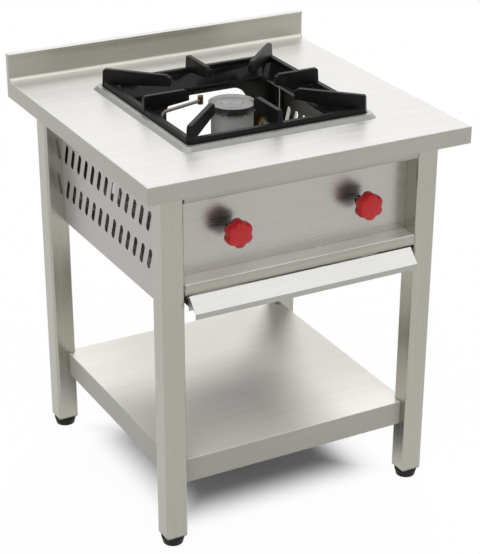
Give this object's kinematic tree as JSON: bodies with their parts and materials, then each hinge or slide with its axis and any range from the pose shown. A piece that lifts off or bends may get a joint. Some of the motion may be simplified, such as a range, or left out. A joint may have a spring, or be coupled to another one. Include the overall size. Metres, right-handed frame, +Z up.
{
  "type": "stock pot range",
  "caption": "Low free-standing stainless gas range for a stock pot, with a cast-iron pan support over a burner, recessed tap panel, slotted sides, sliding drip tray and undershelf.",
  "frame": {"origin": "on the floor, under the middle of the worktop", "axes": "+X to the right of a user who stands in front, +Y to the back, +Z up"},
  "size_m": [0.6, 0.58, 0.74],
  "materials": {
    "stainless_top": "brushed satin",
    "stainless_frame": "brushed satin",
    "stainless_panel": "brushed satin",
    "galvanised_steel": "galvanised",
    "cast_iron": "black vitreous coat on cast iron",
    "black_enamel": "glossy enamel",
    "burner_alloy": "turned, slightly dulled by heat",
    "brass": "turned",
    "pipe_steel": "zinc plated",
    "tube_steel": "dulled by heat",
    "red_plastic": "glossy moulded",
    "black_plastic": "moulded",
    "grey_plastic": "moulded"
  },
  "bodies": {
    "range_body": {"backsplash": "stainless_top", "burner_base": "burner_alloy", "burner_collar": "stainless_top", "burner_cradle": "galvanised_steel", "burner_ring": "burner_alloy", "cradle_bolts": "galvanised_steel", "cradle_bracket_left": "galvanised_steel", "cradle_bracket_right": "galvanised_steel", "fascia": "stainless_panel", "feed_tube": "tube_steel", "foot_insert_front_left": "grey_plastic", "foot_insert_front_right": "grey_plastic", "foot_insert_rear_left": "grey_plastic", "foot_insert_rear_right": "grey_plastic", "gas_manifold": "pipe_steel", "injector": "brass", "inlet_connector": "brass", "leg_front_left": "stainless_frame", "leg_front_right": "stainless_frame", "leg_rear_left": "stainless_frame", "leg_rear_right": "stainless_frame", "lower_front_rail": "stainless_frame", "manifold_plug": "brass", "mixing_tube": "burner_alloy", "pilot_burner": "brass", "pilot_tube": "tube_steel", "pipe_clips": "galvanised_steel", "rear_panel": "stainless_panel", "side_panel_left": "stainless_panel", "side_panel_right": "stainless_panel", "spill_bowl": "black_enamel", "supply_elbow": "pipe_steel", "supply_pipe": "pipe_steel", "top_stiffener_front": "galvanised_steel", "top_stiffener_rear": "galvanised_steel", "tray_runner_left": "galvanised_steel", "tray_runner_right": "galvanised_steel", "undershelf": "stainless_frame", "upper_front_rail": "stainless_frame", "valve_main": "brass", "valve_pilot": "brass", "worktop": "stainless_top"},
    "drip_tray": {"drip_tray": "stainless_panel"},
    "pan_support": {"pan_support": "cast_iron"},
    "burner_cap": {"burner_cap": "burner_alloy"},
    "knob_pilot": {"knob_pilot": "red_plastic", "spindle_pilot": "tube_steel"},
    "knob_main": {"knob_main": "red_plastic", "spindle_main": "tube_steel"},
    "air_shutter": {"air_shutter": "burner_alloy"},
    "foot_front_left": {"foot_front_left": "black_plastic"},
    "foot_front_right": {"foot_front_right": "black_plastic"},
    "foot_rear_left": {"foot_rear_left": "black_plastic"},
    "foot_rear_right": {"foot_rear_right": "black_plastic"}
  },
  "joints": [
    {"name": "drip_tray_slide", "type": "slide", "parent": "range_body", "child": "drip_tray", "axis": [0, -1, 0], "range_m": [0, 0.3]},
    {"name": "pan_support_lift", "type": "slide", "parent": "range_body", "child": "pan_support", "axis": [0, 0, 1], "range_m": [0, 0.12]},
    {"name": "burner_cap_lift", "type": "slide", "parent": "range_body", "child": "burner_cap", "axis": [0, 0, 1], "range_m": [0, 0.1]},
    {"name": "knob_pilot_turn", "type": "hinge", "parent": "range_body", "child": "knob_pilot", "pos_m": [-0.124, -0.25, 0.567], "axis": [0, -1, 0], "range_deg": [0, 180]},
    {"name": "knob_main_turn", "type": "hinge", "parent": "range_body", "child": "knob_main", "pos_m": [0.124, -0.25, 0.567], "axis": [0, -1, 0], "range_deg": [0, 180]},
    {"name": "air_shutter_turn", "type": "hinge", "parent": "range_body", "child": "air_shutter", "pos_m": [0, -0.111, 0.567], "axis": [0, 1, 0], "range_deg": [0, 60]},
    {"name": "foot_front_left_screw", "type": "slide", "parent": "range_body", "child": "foot_front_left", "axis": [0, 0, -1], "range_m": [0, 0.02]},
    {"name": "foot_front_right_screw", "type": "slide", "parent": "range_body", "child": "foot_front_right", "axis": [0, 0, -1], "range_m": [0, 0.02]},
    {"name": "foot_rear_left_screw", "type": "slide", "parent": "range_body", "child": "foot_rear_left", "axis": [0, 0, -1], "range_m": [0, 0.02]},
    {"name": "foot_rear_right_screw", "type": "slide", "parent": "range_body", "child": "foot_rear_right", "axis": [0, 0, -1], "range_m": [0, 0.02]}
  ]
}
